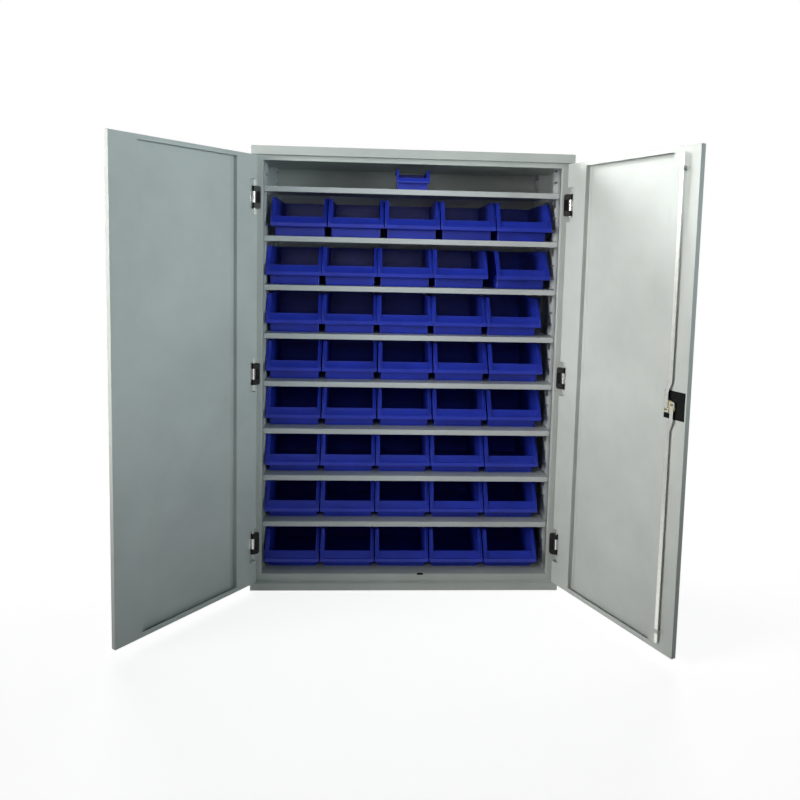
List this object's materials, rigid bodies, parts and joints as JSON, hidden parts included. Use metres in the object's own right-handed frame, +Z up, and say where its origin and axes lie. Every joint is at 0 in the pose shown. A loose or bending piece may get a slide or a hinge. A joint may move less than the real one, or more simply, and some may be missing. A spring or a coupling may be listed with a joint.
{
  "type": "component storage cabinet",
  "caption": "Tall two-door sheet-steel cabinet with slotted uprights, adjustable shelves, open-fronted blue storage bins and a three-point rod lock on the right door.",
  "frame": {"origin": "centre of the carcass footprint on the floor, on the underside of the plinth's middle stiffener", "axes": "+X to the viewer's right along the cabinet's width, +Y from the doors into the cabinet, +Z up"},
  "size_m": [1.9536, 1.078, 1.83],
  "materials": {
    "grey_paint": "satin powder coat, light grey",
    "shelf_paint": "satin powder coat, light grey",
    "zinc_steel": "zinc plated",
    "hinge_steel": "bright plated",
    "black_hinge": "black, slightly glossy",
    "black_plastic": "fine matt moulding",
    "key_metal": "bright",
    "yellow_zinc": "yellow passivated zinc",
    "blue_plastic": "satin moulded polypropylene"
  },
  "bodies": {
    "carcass": {"side_panels": "grey_paint", "back_panel": "grey_paint", "top_cap": "grey_paint", "base_plinth": "grey_paint", "front_frame": "grey_paint", "shelves": "shelf_paint", "shelf_uprights": "shelf_paint", "shelf_clips": "zinc_steel", "hinge_brackets": "black_hinge"},
    "left_door": {"left_door": "grey_paint", "left_hinge_leaves": "hinge_steel"},
    "right_door": {"right_door": "grey_paint", "right_hinge_leaves": "hinge_steel", "lock_housing": "black_plastic"},
    "lock_handle": {"lock_handle": "black_plastic", "lock_cam": "yellow_zinc"},
    "key_cylinder": {"key_cylinder": "key_metal"},
    "upper_lock_rod": {"upper_lock_rod": "zinc_steel"},
    "lower_lock_rod": {"lower_lock_rod": "zinc_steel"},
    "bin_r1_c1": {"bin_r1_c1": "blue_plastic"},
    "bin_r1_c2": {"bin_r1_c2": "blue_plastic"},
    "bin_r1_c3": {"bin_r1_c3": "blue_plastic"},
    "bin_r1_c4": {"bin_r1_c4": "blue_plastic"},
    "bin_r1_c5": {"bin_r1_c5": "blue_plastic"},
    "bin_r2_c1": {"bin_r2_c1": "blue_plastic"},
    "bin_r2_c2": {"bin_r2_c2": "blue_plastic"},
    "bin_r2_c3": {"bin_r2_c3": "blue_plastic"},
    "bin_r2_c4": {"bin_r2_c4": "blue_plastic"},
    "bin_r2_c5": {"bin_r2_c5": "blue_plastic"},
    "bin_r3_c1": {"bin_r3_c1": "blue_plastic"},
    "bin_r3_c2": {"bin_r3_c2": "blue_plastic"},
    "bin_r3_c3": {"bin_r3_c3": "blue_plastic"},
    "bin_r3_c4": {"bin_r3_c4": "blue_plastic"},
    "bin_r3_c5": {"bin_r3_c5": "blue_plastic"},
    "bin_r4_c1": {"bin_r4_c1": "blue_plastic"},
    "bin_r4_c2": {"bin_r4_c2": "blue_plastic"},
    "bin_r4_c3": {"bin_r4_c3": "blue_plastic"},
    "bin_r4_c4": {"bin_r4_c4": "blue_plastic"},
    "bin_r4_c5": {"bin_r4_c5": "blue_plastic"},
    "bin_r5_c1": {"bin_r5_c1": "blue_plastic"},
    "bin_r5_c2": {"bin_r5_c2": "blue_plastic"},
    "bin_r5_c3": {"bin_r5_c3": "blue_plastic"},
    "bin_r5_c4": {"bin_r5_c4": "blue_plastic"},
    "bin_r5_c5": {"bin_r5_c5": "blue_plastic"},
    "bin_r6_c1": {"bin_r6_c1": "blue_plastic"},
    "bin_r6_c2": {"bin_r6_c2": "blue_plastic"},
    "bin_r6_c3": {"bin_r6_c3": "blue_plastic"},
    "bin_r6_c4": {"bin_r6_c4": "blue_plastic"},
    "bin_r6_c5": {"bin_r6_c5": "blue_plastic"},
    "bin_r7_c1": {"bin_r7_c1": "blue_plastic"},
    "bin_r7_c2": {"bin_r7_c2": "blue_plastic"},
    "bin_r7_c3": {"bin_r7_c3": "blue_plastic"},
    "bin_r7_c4": {"bin_r7_c4": "blue_plastic"},
    "bin_r7_c5": {"bin_r7_c5": "blue_plastic"},
    "bin_r8_c1": {"bin_r8_c1": "blue_plastic"},
    "bin_r8_c2": {"bin_r8_c2": "blue_plastic"},
    "bin_r8_c3": {"bin_r8_c3": "blue_plastic"},
    "bin_r8_c4": {"bin_r8_c4": "blue_plastic"},
    "bin_r8_c5": {"bin_r8_c5": "blue_plastic"},
    "small_bin": {"small_bin": "blue_plastic"}
  },
  "joints": [
    {"name": "left_door_hinge", "type": "hinge", "parent": "carcass", "child": "left_door", "pos_m": [-0.64, -0.242, 0.9135], "axis": [0, 0, -1], "range_deg": [-128.3, 11.7]},
    {"name": "right_door_hinge", "type": "hinge", "parent": "carcass", "child": "right_door", "pos_m": [0.64, -0.242, 0.9135], "axis": [0, 0, 1], "range_deg": [-114.6, 25.4]},
    {"name": "lock_handle_turn", "type": "hinge", "parent": "right_door", "child": "lock_handle", "pos_m": [0.86796, -0.77113, 0.911], "axis": [0.9092, 0.4163, 0], "range_deg": [0, 90]},
    {"name": "key_turn", "type": "hinge", "parent": "lock_handle", "child": "key_cylinder", "pos_m": [0.86796, -0.77113, 0.911], "axis": [0.9092, 0.4163, 0], "range_deg": [0, 90]},
    {"name": "upper_rod_slide", "type": "slide", "parent": "right_door", "child": "upper_lock_rod", "axis": [0, 0, 1], "range_m": [0, 0.0198]},
    {"name": "lower_rod_slide", "type": "slide", "parent": "right_door", "child": "lower_lock_rod", "axis": [0, 0, -1], "range_m": [0, 0.0198]},
    {"name": "small_bin_slide", "type": "slide", "parent": "carcass", "child": "small_bin", "axis": [0, -1, 0], "range_m": [0, 0.1]},
    {"name": "bin_r1_c1_slide", "type": "slide", "parent": "carcass", "child": "bin_r1_c1", "axis": [0, -1, 0], "range_m": [0, 0.22]},
    {"name": "bin_r1_c2_slide", "type": "slide", "parent": "carcass", "child": "bin_r1_c2", "axis": [0, -1, 0], "range_m": [0, 0.22]},
    {"name": "bin_r1_c3_slide", "type": "slide", "parent": "carcass", "child": "bin_r1_c3", "axis": [0, -1, 0], "range_m": [0, 0.22]},
    {"name": "bin_r1_c4_slide", "type": "slide", "parent": "carcass", "child": "bin_r1_c4", "axis": [0, -1, 0], "range_m": [0, 0.22]},
    {"name": "bin_r1_c5_slide", "type": "slide", "parent": "carcass", "child": "bin_r1_c5", "axis": [0, -1, 0], "range_m": [0, 0.22]},
    {"name": "bin_r2_c1_slide", "type": "slide", "parent": "carcass", "child": "bin_r2_c1", "axis": [0, -1, 0], "range_m": [0, 0.22]},
    {"name": "bin_r2_c2_slide", "type": "slide", "parent": "carcass", "child": "bin_r2_c2", "axis": [0, -1, 0], "range_m": [0, 0.22]},
    {"name": "bin_r2_c3_slide", "type": "slide", "parent": "carcass", "child": "bin_r2_c3", "axis": [0, -1, 0], "range_m": [0, 0.22]},
    {"name": "bin_r2_c4_slide", "type": "slide", "parent": "carcass", "child": "bin_r2_c4", "axis": [0, -1, 0], "range_m": [0, 0.22]},
    {"name": "bin_r2_c5_slide", "type": "slide", "parent": "carcass", "child": "bin_r2_c5", "axis": [0, -1, 0], "range_m": [0, 0.22]},
    {"name": "bin_r3_c1_slide", "type": "slide", "parent": "carcass", "child": "bin_r3_c1", "axis": [0, -1, 0], "range_m": [0, 0.22]},
    {"name": "bin_r3_c2_slide", "type": "slide", "parent": "carcass", "child": "bin_r3_c2", "axis": [0, -1, 0], "range_m": [0, 0.22]},
    {"name": "bin_r3_c3_slide", "type": "slide", "parent": "carcass", "child": "bin_r3_c3", "axis": [0, -1, 0], "range_m": [0, 0.22]},
    {"name": "bin_r3_c4_slide", "type": "slide", "parent": "carcass", "child": "bin_r3_c4", "axis": [0, -1, 0], "range_m": [0, 0.22]},
    {"name": "bin_r3_c5_slide", "type": "slide", "parent": "carcass", "child": "bin_r3_c5", "axis": [0, -1, 0], "range_m": [0, 0.22]},
    {"name": "bin_r4_c1_slide", "type": "slide", "parent": "carcass", "child": "bin_r4_c1", "axis": [0, -1, 0], "range_m": [0, 0.22]},
    {"name": "bin_r4_c2_slide", "type": "slide", "parent": "carcass", "child": "bin_r4_c2", "axis": [0, -1, 0], "range_m": [0, 0.22]},
    {"name": "bin_r4_c3_slide", "type": "slide", "parent": "carcass", "child": "bin_r4_c3", "axis": [0, -1, 0], "range_m": [0, 0.22]},
    {"name": "bin_r4_c4_slide", "type": "slide", "parent": "carcass", "child": "bin_r4_c4", "axis": [0, -1, 0], "range_m": [0, 0.22]},
    {"name": "bin_r4_c5_slide", "type": "slide", "parent": "carcass", "child": "bin_r4_c5", "axis": [0, -1, 0], "range_m": [0, 0.22]},
    {"name": "bin_r5_c1_slide", "type": "slide", "parent": "carcass", "child": "bin_r5_c1", "axis": [0, -1, 0], "range_m": [0, 0.22]},
    {"name": "bin_r5_c2_slide", "type": "slide", "parent": "carcass", "child": "bin_r5_c2", "axis": [0, -1, 0], "range_m": [0, 0.22]},
    {"name": "bin_r5_c3_slide", "type": "slide", "parent": "carcass", "child": "bin_r5_c3", "axis": [0, -1, 0], "range_m": [0, 0.22]},
    {"name": "bin_r5_c4_slide", "type": "slide", "parent": "carcass", "child": "bin_r5_c4", "axis": [0, -1, 0], "range_m": [0, 0.22]},
    {"name": "bin_r5_c5_slide", "type": "slide", "parent": "carcass", "child": "bin_r5_c5", "axis": [0, -1, 0], "range_m": [0, 0.22]},
    {"name": "bin_r6_c1_slide", "type": "slide", "parent": "carcass", "child": "bin_r6_c1", "axis": [0, -1, 0], "range_m": [0, 0.22]},
    {"name": "bin_r6_c2_slide", "type": "slide", "parent": "carcass", "child": "bin_r6_c2", "axis": [0, -1, 0], "range_m": [0, 0.22]},
    {"name": "bin_r6_c3_slide", "type": "slide", "parent": "carcass", "child": "bin_r6_c3", "axis": [0, -1, 0], "range_m": [0, 0.22]},
    {"name": "bin_r6_c4_slide", "type": "slide", "parent": "carcass", "child": "bin_r6_c4", "axis": [0, -1, 0], "range_m": [0, 0.22]},
    {"name": "bin_r6_c5_slide", "type": "slide", "parent": "carcass", "child": "bin_r6_c5", "axis": [0, -1, 0], "range_m": [0, 0.22]},
    {"name": "bin_r7_c1_slide", "type": "slide", "parent": "carcass", "child": "bin_r7_c1", "axis": [0, -1, 0], "range_m": [0, 0.22]},
    {"name": "bin_r7_c2_slide", "type": "slide", "parent": "carcass", "child": "bin_r7_c2", "axis": [0, -1, 0], "range_m": [0, 0.22]},
    {"name": "bin_r7_c3_slide", "type": "slide", "parent": "carcass", "child": "bin_r7_c3", "axis": [0, -1, 0], "range_m": [0, 0.22]},
    {"name": "bin_r7_c4_slide", "type": "slide", "parent": "carcass", "child": "bin_r7_c4", "axis": [0, -1, 0], "range_m": [0, 0.22]},
    {"name": "bin_r7_c5_slide", "type": "slide", "parent": "carcass", "child": "bin_r7_c5", "axis": [0, -1, 0], "range_m": [0, 0.22]},
    {"name": "bin_r8_c1_slide", "type": "slide", "parent": "carcass", "child": "bin_r8_c1", "axis": [0, -1, 0], "range_m": [0, 0.22]},
    {"name": "bin_r8_c2_slide", "type": "slide", "parent": "carcass", "child": "bin_r8_c2", "axis": [0, -1, 0], "range_m": [0, 0.22]},
    {"name": "bin_r8_c3_slide", "type": "slide", "parent": "carcass", "child": "bin_r8_c3", "axis": [0, -1, 0], "range_m": [0, 0.22]},
    {"name": "bin_r8_c4_slide", "type": "slide", "parent": "carcass", "child": "bin_r8_c4", "axis": [0, -1, 0], "range_m": [0, 0.22]},
    {"name": "bin_r8_c5_slide", "type": "slide", "parent": "carcass", "child": "bin_r8_c5", "axis": [0, -1, 0], "range_m": [0, 0.22]}
  ],
  "couplings": [
    {"joint": "upper_rod_slide", "follows": "lock_handle_turn", "m_per_rad": 0.012604},
    {"joint": "lower_rod_slide", "follows": "lock_handle_turn", "m_per_rad": 0.012604}
  ]
}
